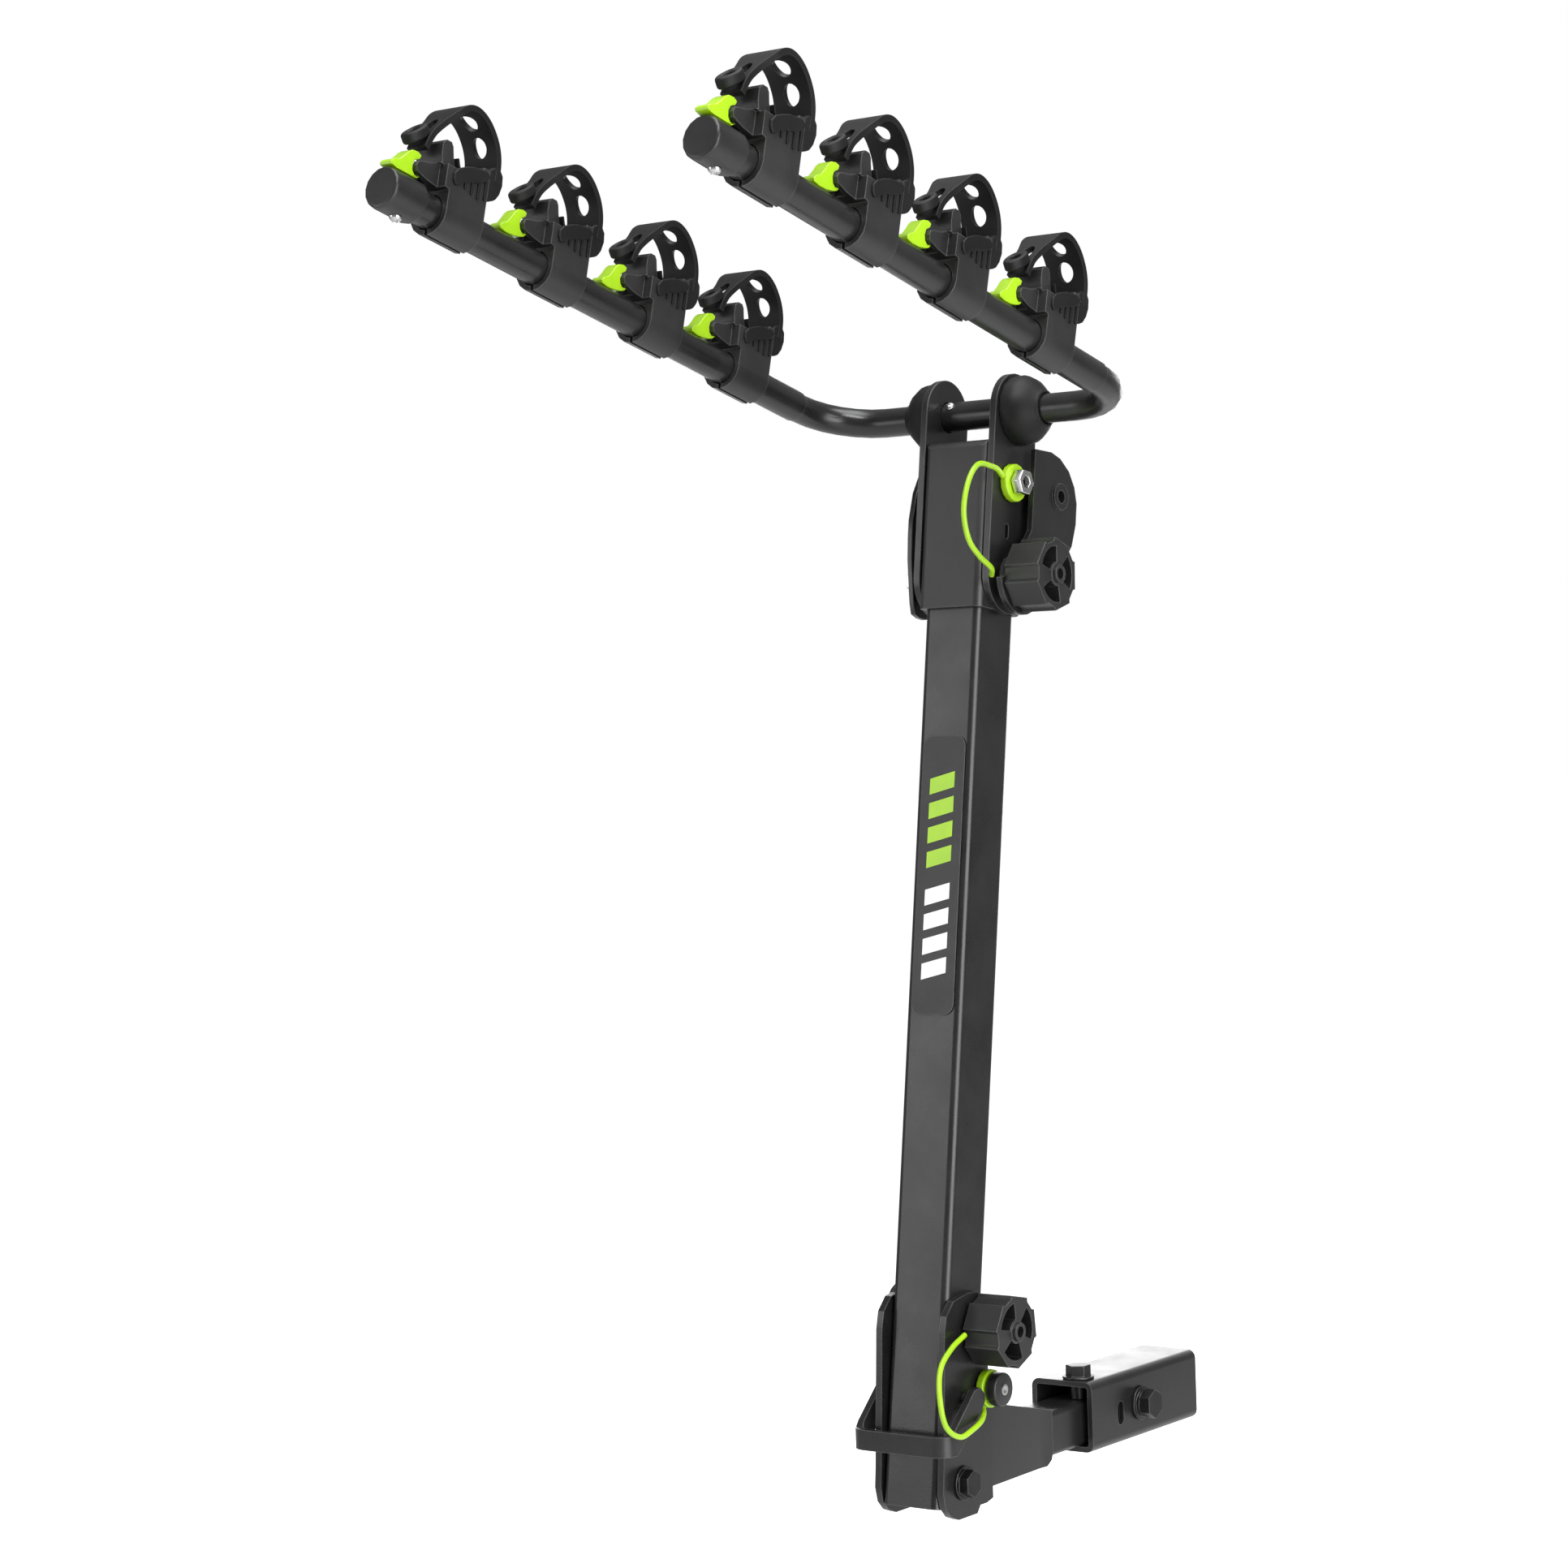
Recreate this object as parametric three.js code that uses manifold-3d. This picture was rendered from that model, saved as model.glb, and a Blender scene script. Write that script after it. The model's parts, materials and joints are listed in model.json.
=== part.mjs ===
// Hitch mounted bike rack: hitch shank and tilt bracket, square mast, folding carrier bar with eight cradles.
// Millimetres, +Z up, +Y towards the vehicle, +X to the side that carries the knobs and lock pins.
import * as THREE from 'three';
import { mergeVertices } from 'three/addons/utils/BufferGeometryUtils.js';
import Module from 'manifold-3d';

const wasm = await Module();
wasm.setup();

// ---- driving dimensions -------------------------------------------------------------------------
const GAP = 0.3;                                   // air left between neighbouring pieces
const SHANK = 50.8, SHANK_WALL = 4, SHANK_LEN = 148;   // sleeve for a two inch receiver
const STINGER = 31.75, STINGER_WALL = 3.2;         // inner bar, one and a quarter inch
const FRONT_Y = -74, AXIS_Z = 25.4;                // sleeve's open end and axis height
const PIVOT = { y: -246, z: 12.4 };                // mast pivot bolt
const LEAN = 8.2;                                  // mast's lean towards the vehicle, degrees
const MAST = 45.6, MAST_WALL = 3, MAST_LOW = -18, MAST_TOP = 705;
const PLATE_IN = 23.2, PLATE_T = 5;                // bracket plates on each side of the mast
const HINGE_S = 621, BAR_S = 738;                  // arm hinge and carrier bar, along the mast
const EAR_IN = 26.3, EAR_T = 5, EAR_R = 26;
const WING_IN = 38.5, WING_T = 4;                  // outer head plates
const RISE = 15;                                   // arms' rise, degrees
const BAR_R = 10.3, ARM_R = 11.2, ARM_X = 124.7, BEND_R = 45, ARM_LEN = 491;
const CRADLES = { left: [428.5, 324.5, 220, 121], right: [432, 326.5, 226, 119] };
const CRADLE_L = 35, CRADLE_W = 30, COLLAR_R = 15.3;
const STRAP_T = 3, STRAP_W = 28;
const KNOB_R = 24.5, KNOB_L = 27.5;
const TETHER_R = 1.9;

// ---- finishes -----------------------------------------------------------------------------------
const finish = (color, roughness, metalness) => () => new THREE.MeshStandardMaterial({ color, roughness, metalness });
const coat = finish(0x2f3031, 0.5, 0.3), plastic = finish(0x36383a, 0.55, 0.0), rubber = finish(0x1c1c1d, 0.8, 0.0);
const lime = finish(0xc2ec1c, 0.45, 0.0), zinc = finish(0xb4b7ba, 0.3, 0.9), dark = finish(0x26282a, 0.4, 0.7);

// ---- solids -------------------------------------------------------------------------------------
function solid(geometry) {
  const bare = geometry.clone();
  bare.deleteAttribute('normal');
  bare.deleteAttribute('uv');
  const merged = mergeVertices(bare, 1e-4);
  const p = merged.attributes.position, tri = [];
  let volume = 0;
  const at = (i) => new THREE.Vector3().fromBufferAttribute(p, i);
  for (let k = 0; k < merged.index.count; k += 3) {
    const [i, j, l] = [0, 1, 2].map((n) => merged.index.getX(k + n));
    if (i === j || j === l || l === i) continue;
    tri.push(i, j, l);
    volume += at(i).dot(at(j).cross(at(l)));
  }
  if (volume < 0) for (let k = 0; k < tri.length; k += 3) [tri[k], tri[k + 1]] = [tri[k + 1], tri[k]];
  return new wasm.Manifold(new wasm.Mesh({
    numProp: 3, vertProperties: Float32Array.from(p.array), triVerts: Uint32Array.from(tri),
  }));
}

const X = new THREE.Vector3(1, 0, 0), Y = new THREE.Vector3(0, 1, 0), Z = new THREE.Vector3(0, 0, 1);
const SIDE = new THREE.Matrix4().makeBasis(Y, Z, X);       // a drawing in (y, z) pushed out along x
const rad = THREE.MathUtils.degToRad;
const MAST_FRAME = new THREE.Matrix4().makeRotationX(-rad(LEAN)).setPosition(0, PIVOT.y, PIVOT.z);
const onMast = (y, s) => new THREE.Vector3(0, y, s).applyMatrix4(MAST_FRAME);
const BAR = onMast(1, BAR_S);
const ARM_FRAME = new THREE.Matrix4().makeRotationX(-rad(RISE)).setPosition(0, BAR.y, BAR.z);
const shift = (x, y, z) => new THREE.Matrix4().makeTranslation(x, y, z);

const place = (body, matrix) => body.transform([...matrix.elements]);
const polygon = (points) => new THREE.Shape(points.map(([a, b]) => new THREE.Vector2(a, b)));
function side(shape, x0, x1, curve = 4) {
  const g = new THREE.ExtrudeGeometry(shape, { depth: x1 - x0, bevelEnabled: false, curveSegments: curve });
  return solid(g.translate(0, 0, x0).applyMatrix4(SIDE));
}
function upright(shape, z0, z1, curve = 2) {
  const g = new THREE.ExtrudeGeometry(shape, { depth: z1 - z0, bevelEnabled: false, curveSegments: curve });
  return solid(g.translate(0, 0, z0));
}
function along(shape, y0, y1, curve = 2) {
  const g = new THREE.ExtrudeGeometry(shape, { depth: y1 - y0, bevelEnabled: false, curveSegments: curve });
  return solid(g.rotateX(Math.PI / 2).translate(0, y1, 0));
}
const box = (x0, x1, y0, y1, z0, z1) => solid(new THREE.BoxGeometry(x1 - x0, y1 - y0, z1 - z0)
  .translate((x0 + x1) / 2, (y0 + y1) / 2, (z0 + z1) / 2));
function rod(axis, r, a, b, u = 0, v = 0, sides = 12) {
  const g = new THREE.CylinderGeometry(r, r, b - a, sides);
  if (axis === 'x') g.rotateZ(-Math.PI / 2).translate((a + b) / 2, u, v);
  if (axis === 'y') g.translate(u, (a + b) / 2, v);
  if (axis === 'z') g.rotateX(Math.PI / 2).translate(u, v, (a + b) / 2);
  return solid(g);
}
// a turned piece about an axis along x; the profile is (radius, x)
function turned(profile, y = 0, z = 0, sides = 16) {
  const g = new THREE.LatheGeometry(profile.map(([r, x]) => new THREE.Vector2(r, x)), sides);
  return solid(g.rotateZ(-Math.PI / 2).translate(0, y, z));
}
function roundRect(w, h, r, cx = 0, cy = 0, path = new THREE.Shape()) {
  const [a, b] = [w / 2 - r, h / 2 - r];
  path.absarc(cx + a, cy - b, r, -Math.PI / 2, 0);
  path.absarc(cx + a, cy + b, r, 0, Math.PI / 2);
  path.absarc(cx - a, cy + b, r, Math.PI / 2, Math.PI);
  path.absarc(cx - a, cy - b, r, Math.PI, 1.5 * Math.PI);
  path.closePath();
  return path;
}
function squareTube(size, wall, r) {
  const shape = roundRect(size, size, r);
  shape.holes.push(roundRect(size - 2 * wall, size - 2 * wall, Math.max(r - wall, 1), 0, 0, new THREE.Path()));
  return shape;
}

// a line through given stations, cut exactly at each of them
class Stations extends THREE.Curve {
  constructor(points) { super(); this.points = points; }
  getUtoTmapping(u) { return u; }
  getPoint(t, out = new THREE.Vector3()) {
    const f = t * (this.points.length - 1), i = Math.min(Math.floor(f + 1e-9), this.points.length - 2);
    return out.copy(this.points[i]).lerp(this.points[i + 1], f - i);
  }
  getTangent(t, out = new THREE.Vector3()) {
    const n = this.points.length - 1, i = Math.round(t * n), p = this.points;
    out.set(0, 0, 0);
    if (i > 0) out.add(p[i].clone().sub(p[i - 1]).normalize());
    if (i < n) out.add(p[i + 1].clone().sub(p[i]).normalize());
    return out.normalize();
  }
}
function tube(points, r, sides) {
  const ring = Array.from({ length: sides }, (_, k) => 2 * Math.PI * k / sides);
  const shape = polygon(ring.map((a) => [r * Math.cos(a), r * Math.sin(a)]));
  const path = new Stations(points);
  return solid(new THREE.ExtrudeGeometry(shape, { steps: points.length - 1, extrudePath: path, bevelEnabled: false }));
}

// ---- assembly -----------------------------------------------------------------------------------
const rack = new THREE.Group();
rack.name = 'hitch_bike_rack';
function node(name, body, material, group = rack) {
  const m = body.getMesh(), g = new THREE.BufferGeometry();
  g.setAttribute('position', new THREE.BufferAttribute(Float32Array.from(m.vertProperties), 3));
  g.setIndex(new THREE.BufferAttribute(Uint32Array.from(m.triVerts), 1));
  g.computeVertexNormals();
  const mesh = new THREE.Mesh(g, material());
  mesh.name = name;
  group.add(mesh);
}
const group = (name) => { const g = new THREE.Group(); g.name = name; rack.add(g); return g; };

// ---- hitch end ----------------------------------------------------------------------------------
const hitch = group('hitch_end');
const backY = FRONT_Y + SHANK_LEN, stingerZ = AXIS_Z - SHANK / 2 + SHANK_WALL + GAP + STINGER / 2;
const place_z = (body, z) => body.translate([0, 0, z]);
let sleeve = place_z(along(squareTube(SHANK, SHANK_WALL, 6), FRONT_Y, backY), AXIS_Z);
const CLAMP_X = 7, CLAMP_Y = FRONT_Y + 12, HITCH_BOLT_Y = FRONT_Y + 66, SLOT_Y = FRONT_Y + 39;
sleeve = sleeve.subtract(rod('z', 6.3, AXIS_Z + 10, AXIS_Z + 30, CLAMP_X, CLAMP_Y))
  .subtract(rod('x', 6.3, -30, 30, HITCH_BOLT_Y, AXIS_Z))
  .subtract(side(roundRect(8, 17, 3.9, SLOT_Y, AXIS_Z - 3), 10, 30, 2));
node('hitch_adapter', sleeve, coat, hitch);

let stinger = place_z(along(squareTube(STINGER, STINGER_WALL, 3.5), PIVOT.y + 44, FRONT_Y + 104), stingerZ);
stinger = stinger.subtract(rod('x', 6.3, -30, 30, HITCH_BOLT_Y, AXIS_Z));
node('stinger_tube', stinger, coat, hitch);

const topZ = AXIS_Z + SHANK / 2;
const clampLow = stingerZ + STINGER / 2 + GAP;
node('sleeve_clamp_bolt', rod('z', 6, clampLow, topZ + 3, CLAMP_X, CLAMP_Y)
  .add(rod('z', 11.5, topZ + GAP, topZ + 2, CLAMP_X, CLAMP_Y, 20))
  .add(rod('z', 9.2, topZ + 1.8, topZ + 10, CLAMP_X, CLAMP_Y, 6)), dark, hitch);
const boltX = SHANK / 2 + 5.5;
node('hitch_bolt', rod('x', 6, -32, boltX + 1, HITCH_BOLT_Y, AXIS_Z)
  .add(rod('x', 10.8, boltX, boltX + 8, HITCH_BOLT_Y, AXIS_Z, 6)), dark, hitch);
node('hitch_bolt_washers', turned([[6.3, SHANK / 2 + GAP], [12.5, SHANK / 2 + GAP], [12.5, SHANK / 2 + 2.4],
  [10, SHANK / 2 + 2.6], [10, boltX - GAP], [6.3, boltX - GAP], [6.3, SHANK / 2 + GAP]],
HITCH_BOLT_Y, AXIS_Z), zinc, hitch);

// formed bracket plates: a flat cheek beside the mast and a wing bent in to the stinger
const cheekBack = PIVOT.y + 36;
function bracketPlate(sign) {
  const d = PIVOT.y, top = PIVOT.z + 127, low = PIVOT.z - 24;
  const cheek = polygon([[d - 24.5, low + 20], [d - 22, low + 10], [d - 16, low + 3.5], [d - 7, low], [d + 16, low], [d + 20, low + 5],
    [cheekBack - 8, low + 5], [cheekBack, low + 7], [cheekBack, PIVOT.z + 49], [cheekBack - 4, top - 8],
    [cheekBack - 8, top - 2], [cheekBack - 13, top], [d + 12, top], [d - 5, top - 3], [d - 14, top - 12],
    [d - 17, top - 24], [d - 23, PIVOT.z + 12]]);
  const [x0, x1] = [PLATE_IN, PLATE_IN + PLATE_T];
  let plate = side(cheek, sign > 0 ? x0 : -x1, sign > 0 ? x1 : -x0);
  const endY = FRONT_Y - 47, sx = STINGER / 2 + GAP;
  const plan = polygon([[sign * x0, cheekBack - 4], [sign * x1, cheekBack - 4], [sign * x1, cheekBack],
    [sign * (sx + PLATE_T), endY - 18], [sign * (sx + PLATE_T), endY], [sign * sx, endY],
    [sign * sx, endY - 18], [sign * x0, cheekBack]]);
  const outline = polygon([[cheekBack - 4, PIVOT.z + 49], [endY, AXIS_Z + 14], [endY, AXIS_Z - 15],
    [endY - 2, AXIS_Z - 21], [endY - 8, AXIS_Z - 24.5], [cheekBack - 4, PIVOT.z - 9]]);
  const wing = upright(plan, PIVOT.z - 40, PIVOT.z + 60).intersect(side(outline, -40, 40));
  plate = plate.add(wing);
  plate = plate.subtract(rod('x', 6.3, -40, 40, PIVOT.y, PIVOT.z, 20));
  plate = plate.subtract(rod('x', 5.3, -40, 40, PIN.y, PIN.z, 20));
  return plate.subtract(rod('x', 5.3, -40, 40, CLAMP.y, CLAMP.z, 20));
}
const PIN = { y: FRONT_Y - 143.7, z: AXIS_Z + 47 }, CLAMP = { y: FRONT_Y - 146.5, z: AXIS_Z + 88 };
node('bracket_plate_right', bracketPlate(1), coat, hitch);
node('bracket_plate_left', bracketPlate(-1), coat, hitch);
const outer = PLATE_IN + PLATE_T;
node('pivot_bolt', rod('x', 6, -outer - 9, outer + 2, PIVOT.y, PIVOT.z, 20)
  .add(rod('x', 11.8, outer + GAP, outer + 2, PIVOT.y, PIVOT.z, 20))
  .add(rod('x', 9.6, outer + 1.8, outer + 9, PIVOT.y, PIVOT.z, 6)), dark, hitch);
node('pivot_nut', rod('x', 9.6, -outer - 8, -outer - GAP, PIVOT.y, PIVOT.z, 6)
  .subtract(rod('x', 6.3, -50, 0, PIVOT.y, PIVOT.z, 20)), dark, hitch);
node('clamp_bolt_retainer', turned([[0, -outer - 8], [9, -outer - 8], [22, -outer - 5.5], [25.5, -outer - 3],
  [25.5, -outer - GAP], [0, -outer - GAP]], CLAMP.y - 3, CLAMP.z + 6, 20), plastic, hitch);

// tilt stop: a flat bar bent round the front of the bracket
{
  const frontY = FRONT_Y - 209, xo = 40, t = 5, zl = AXIS_Z + 10.5, zh = AXIS_Z + 24.5;
  const end = { y: FRONT_Y - 168, z: AXIS_Z + 43.5 };
  const loop = roundRect(2 * xo, 90, 12, 0, frontY + 45);
  loop.holes.push(roundRect(2 * (xo - t), 90 - 2 * t, 8, 0, frontY + 45, new THREE.Path()));
  const frame = upright(loop, zl - 30, zh + 60, 2);
  const lead = polygon([[frontY - 1, zl], [frontY + 14, zl], [end.y + 4, end.z - 7], [end.y + 8, end.z - 2],
    [end.y + 8, end.z + 3], [end.y + 3, end.z + 8], [end.y - 4, end.z + 7.5], [frontY + 8, zh], [frontY - 1, zh]]);
  let bar = frame.intersect(side(lead, -xo - 1, xo + 1));
  for (const s of [-1, 1]) {
    const [a, b] = [s * (outer + GAP), s * (xo - 1)].sort((p, q) => p - q);
    bar = bar.add(rod('x', 4, a, b, end.y, end.z, 12));
  }
  node('tilt_stop_bar', bar, coat, hitch);
}

// fluted hand knob standing on +x, with three pockets and a hub
function knob(x0, y, z) {
  const n = 40, rim = Array.from({ length: n }, (_, k) => {
    const a = 2 * Math.PI * k / n, r = KNOB_R - 2.4 * (0.5 - 0.5 * Math.cos(5 * a)) ** 3;
    return [y + r * Math.cos(a), z + r * Math.sin(a)];
  });
  let body = side(polygon(rim), x0, x0 + KNOB_L);
  body = body.add(rod('x', 7.5, x0 + 2, x0 + KNOB_L + 3.5, y, z, 20));
  for (let k = 0; k < 3; k++) {
    const a0 = rad(20 + 120 * k), pocket = new THREE.Shape();
    pocket.absarc(y, z, 18.5, a0 - 0.62, a0 + 0.62);
    pocket.absarc(y, z, 9.5, a0 + 0.5, a0 - 0.5, true);
    pocket.closePath();
    body = body.subtract(side(pocket, x0 + 6, x0 + KNOB_L + 1, 5));
  }
  body = body.subtract(rod('x', 4, x0 + KNOB_L - 8, x0 + KNOB_L + 5, y, z, 12));
  return body.subtract(rod('x', 5.3, x0 - 1, x0 + 16, y, z, 16));
}
const lowKnobX = outer + 3;
node('mast_clamp_knob', knob(lowKnobX, CLAMP.y, CLAMP.z), plastic, hitch);
node('mast_clamp_screw', rod('x', 5, PLATE_IN - 0.1, lowKnobX + 15, CLAMP.y, CLAMP.z, 16), zinc, hitch);

// lock pin: shaft, disc head, and the moulded ring of its tether round the neck
function lockPin(x0, x1, y, z) {
  return rod('x', 5, x0, x1 + 7, y, z, 12).add(turned([[0, x1 + 6], [7.5, x1 + 6], [8, x1 + 8], [11, x1 + 8.6],
    [11.2, x1 + 11], [10.4, x1 + 13.4], [6, x1 + 14.2], [0, x1 + 14.2]], y, z));
}
const tetherRing = (x1, y, z) => turned([[5.3, x1], [13, x1], [13.4, x1 + 1.2], [13.4, x1 + 4], [13, x1 + 5.4],
  [5.3, x1 + 5.4], [5.3, x1]], y, z);
const ringX = outer + 2;
node('mast_lock_pin', lockPin(outer - 4.8, ringX, PIN.y, PIN.z), zinc, hitch);
node('mast_lock_pin_ring', tetherRing(ringX, PIN.y, PIN.z), lime, hitch);

function tether(points, count) {
  const curve = new THREE.CatmullRomCurve3(points.map((p) => new THREE.Vector3(...p)), false, 'centripetal');
  return tube(curve.getSpacedPoints(count), TETHER_R, 8);
}
const f = FRONT_Y, h = AXIS_Z;
node('mast_lock_tether', tether([[33.5, f - 172.6, h + 88], [34.5, f - 190, h + 82], [37, f - 208, h + 71],
  [45, f - 221.5, h + 52], [47.5, f - 219, h + 35], [47.5, f - 203, h + 25.5], [46, f - 186, h + 27],
  [43.8, f - 171, h + 30.5], [38.5, f - 160, h + 33.5], [34.5, f - 154.6, h + 35.2]], 24), lime, hitch);

// ---- mast ---------------------------------------------------------------------------------------
const mast = group('mast');
let post = upright(squareTube(MAST, MAST_WALL, 5.5), MAST_LOW, MAST_TOP);
post = post.subtract(rod('x', 6.3, -30, 30, 0, 0, 20)).subtract(rod('x', 5.3, -30, 30, 0, HINGE_S, 20));
node('mast_tube', place(post, MAST_FRAME), coat, mast);

const label = solid(new THREE.ExtrudeGeometry(roundRect(35, 193, 8, 0, 411.5), { depth: 0.8, bevelEnabled: false,
  curveSegments: 3 }).rotateX(Math.PI / 2)).translate([0, -MAST / 2 - GAP, 0]);
node('mast_label_plate', place(label, MAST_FRAME), plastic, mast);

const [headLow, headTop, HX, HF, HB] = [597, 715, 26, -27.5, 26.5];
let head = upright(roundRect(2 * HX, HB - HF, 6, 0, (HB + HF) / 2), headLow, headTop);
head = head.subtract(upright(roundRect(MAST + 2 * GAP, MAST + 2 * GAP, 5.5), headLow - 5, headTop - 4));
const crown = polygon([[HF - 1, headTop - 7], [HF + 2.5, headTop - 2.5], [HF + 8, headTop], [HB - 8, headTop],
  [HB - 2.5, headTop - 2.5], [HB + 1, headTop - 7], [HB + 1, headLow - 2], [HF - 1, headLow - 2]]);
head = head.intersect(side(crown, -30, 30)).subtract(rod('x', 5.3, -40, 40, 0, HINGE_S, 20));
node('mast_head_sleeve', place(head, MAST_FRAME), plastic, mast);

// outer head plates, each with a round lobe about the hinge and a locking quadrant behind it
function headPlate(sign) {
  const front = sign > 0 ? [[-22, 618], [-19, 630], [-2, 638], [9.5, 655], [9.5, 712]]
    : [[-13.5, 604], [-16, 618], [-18.5, 634], [-19.5, 650], [-19.5, 662], [-16, 682], [-9, 697], [2, 709]];
  const lobe = [];
  for (let a = 330; a >= (sign > 0 ? 188 : 244); a -= 14) lobe.push([27 * Math.cos(rad(a)), HINGE_S + 27 * Math.sin(rad(a))]);
  const back = [[30, 713.5], [42, 711], [54, 704], [62, 694], [66, 683], [66, 668], [62, 652], [48, 632]];
  const outline = polygon([...back, ...lobe, ...front]);
  let plate = side(outline, sign > 0 ? WING_IN : -WING_IN - WING_T, sign > 0 ? WING_IN + WING_T : -WING_IN);
  const dot = rod('x', 9.5, sign > 0 ? 36.5 : -44.2, sign > 0 ? 44.2 : -36.5, 43, 684, 20);
  plate = plate.add(dot).subtract(rod('x', 4.5, -60, 60, 43, 684, 16));
  plate = plate.add(rod('x', 13, sign > 0 ? EAR_IN + EAR_T + GAP : -WING_IN, sign > 0 ? WING_IN + 1
    : -EAR_IN - EAR_T - GAP, 0, HINGE_S, 20));
  return place(plate.subtract(rod('x', 5.3, -60, 60, 0, HINGE_S, 20)), MAST_FRAME);
}
node('head_plate_right', headPlate(1), coat, mast);
node('head_plate_left', headPlate(-1), coat, mast);
// rear web that ties the two head plates to the mast
node('head_rear_web', place(box(-33, 33, HB + GAP, HB + 9, 645, 688)
  .add(box(-33, -28, HB + 4, HB + 32, 645, 688)).add(box(28, 33, HB + 4, HB + 32, 645, 688)), MAST_FRAME), coat, mast);
const knobX = WING_IN + WING_T + 0.6;
node('hinge_bolt', place(rod('x', 5, -WING_IN - WING_T - 7, knobX + 15, 0, HINGE_S, 20)
  .add(rod('x', 9, -WING_IN - WING_T - 7, -WING_IN - WING_T - GAP, 0, HINGE_S, 6)), MAST_FRAME), zinc, mast);

// ---- folding carrier ----------------------------------------------------------------------------
const carrier = group('carrier');
function ear(sign) {
  const shape = new THREE.Shape();
  shape.absarc(0, BAR_S, EAR_R, 0, Math.PI);
  shape.absarc(0, HINGE_S, EAR_R, Math.PI, 2 * Math.PI);
  shape.closePath();
  let plate = side(shape, sign > 0 ? EAR_IN : -EAR_IN - EAR_T, sign > 0 ? EAR_IN + EAR_T : -EAR_IN, 10);
  plate = plate.subtract(rod('x', 5.3, -60, 60, 0, HINGE_S, 20)).subtract(rod('x', 5.3, -60, 60, -4.5, 686, 20));
  plate = plate.subtract(rod('x', BAR_R + 2 * GAP, -60, 60, 1, BAR_S, 16));
  return place(plate.subtract(side(roundRect(4.4, 11, 2.1, -5.5, 652), -60, 60, 1)), MAST_FRAME);
}
node('ear_plate_right', ear(1), coat, carrier);
node('ear_plate_left', ear(-1), coat, carrier);

// the carrier bar lies in one plane: arm, bend, cross run, bend, arm
{
  const pts = [];
  const arc = (sign, a) => new THREE.Vector3(sign * (ARM_X - BEND_R + BEND_R * Math.cos(rad(a))),
    -(BEND_R - BEND_R * Math.sin(rad(a))), 0);
  pts.push(new THREE.Vector3(-ARM_X, -ARM_LEN + 4 + GAP, 0));
  for (let a = 0; a <= 90; a += 15) pts.push(arc(-1, a));
  for (let a = 90; a >= 0; a -= 15) pts.push(arc(1, a));
  pts.push(new THREE.Vector3(ARM_X, -ARM_LEN + 4 + GAP, 0));
  let bar = tube(pts, BAR_R, 16);
  for (const s of [-1, 1]) bar = bar.add(rod('y', ARM_R, -ARM_LEN + 4 + GAP, -52, s * ARM_X, 0, 16));
  node('carrier_bar', place(bar, ARM_FRAME), coat, carrier);
}
for (const [name, s] of [['right', 1], ['left', -1]]) {
  const x0 = EAR_IN + EAR_T + GAP, r = BAR_R + 2 * GAP;
  const dome = turned([[r, x0], [24.5, x0], [24.5, x0 + 7], [23.4, x0 + 11], [21, x0 + 15], [17.6, x0 + 18.6],
    [14.4, x0 + 21.4], [12.6, x0 + 24], [r, x0 + 24.4], [r, x0]]);
  const turn = s > 0 ? new THREE.Matrix4() : new THREE.Matrix4().makeRotationZ(Math.PI);
  node(`bar_bush_${name}`, place(dome, shift(0, BAR.y, BAR.z).multiply(turn)), rubber, carrier);
  const L = ARM_LEN, b = ARM_R + 2 * GAP;
  const cup = new THREE.LatheGeometry([[0, L], [11.5, L], [13.4, L - 1], [14, L - 3], [14, L - 28], [13.4, L - 30],
    [b, L - 30], [b, L - 4], [0, L - 4]].map(([u, v]) => new THREE.Vector2(u, -v)), 16);
  node(`end_cap_${name}`, place(solid(cup.translate(s * ARM_X, 0, 0)), ARM_FRAME), plastic, carrier);
}

// one cradle: split collar, saddle with two posts, nose that carries the buckle lever
const drawn = (points) => polygon(points.map(([t, v]) => [-t, v]));     // (along the arm, above it)
const LEVER = { t: 38, v: 21 };
function cradle() {
  const l = CRADLE_L / 2, w = CRADLE_W / 2, { t, v } = LEVER;
  const saddle = drawn([[-l, 0], [-l, 36], [-l + 2, 38.5], [-11, 38.5], [-9.5, 34], [-8.5, 30], [-5.5, 26.5],
    [-1, 24.5], [4, 24.5], [8.5, 26.5], [11.5, 31], [13.5, 37], [15, 43], [17, 45.4], [21.5, 45.4], [24.5, 42.5],
    [24.5, 36], [23, 30], [30, 27], [t, v + 4.2], [t + 3, v + 3], [t + 4.2, v], [t + 3, v - 3], [t, v - 4.2],
    [31, 15], [l, 13.5], [l, 0]]);
  let body = side(saddle, -w, w);
  const nose = side(drawn([[l + 4, 12], [l + 4, 29], [45, 29], [45, 12]]), 8.2, 30);
  const post = side(drawn([[9, 29], [9, 60], [40, 60], [40, 29]]), 11, 30);
  for (const cut of [nose, post]) body = body.subtract(cut).subtract(cut.mirror([1, 0, 0]));
  body = body.subtract(box(-4.4, 4.4, -45, -27.2, 10, 40)).add(rod('x', 2, -6, 6, -t, v, 8));
  body = body.add(rod('y', COLLAR_R, -l, l, 0, 0, 16));
  return body.subtract(rod('y', ARM_R + 2 * GAP, -l - 5, l + 5, 0, 0, 16))
    .subtract(box(-1.2, 1.2, -l - 5, l + 5, -20, -5));
}
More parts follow.
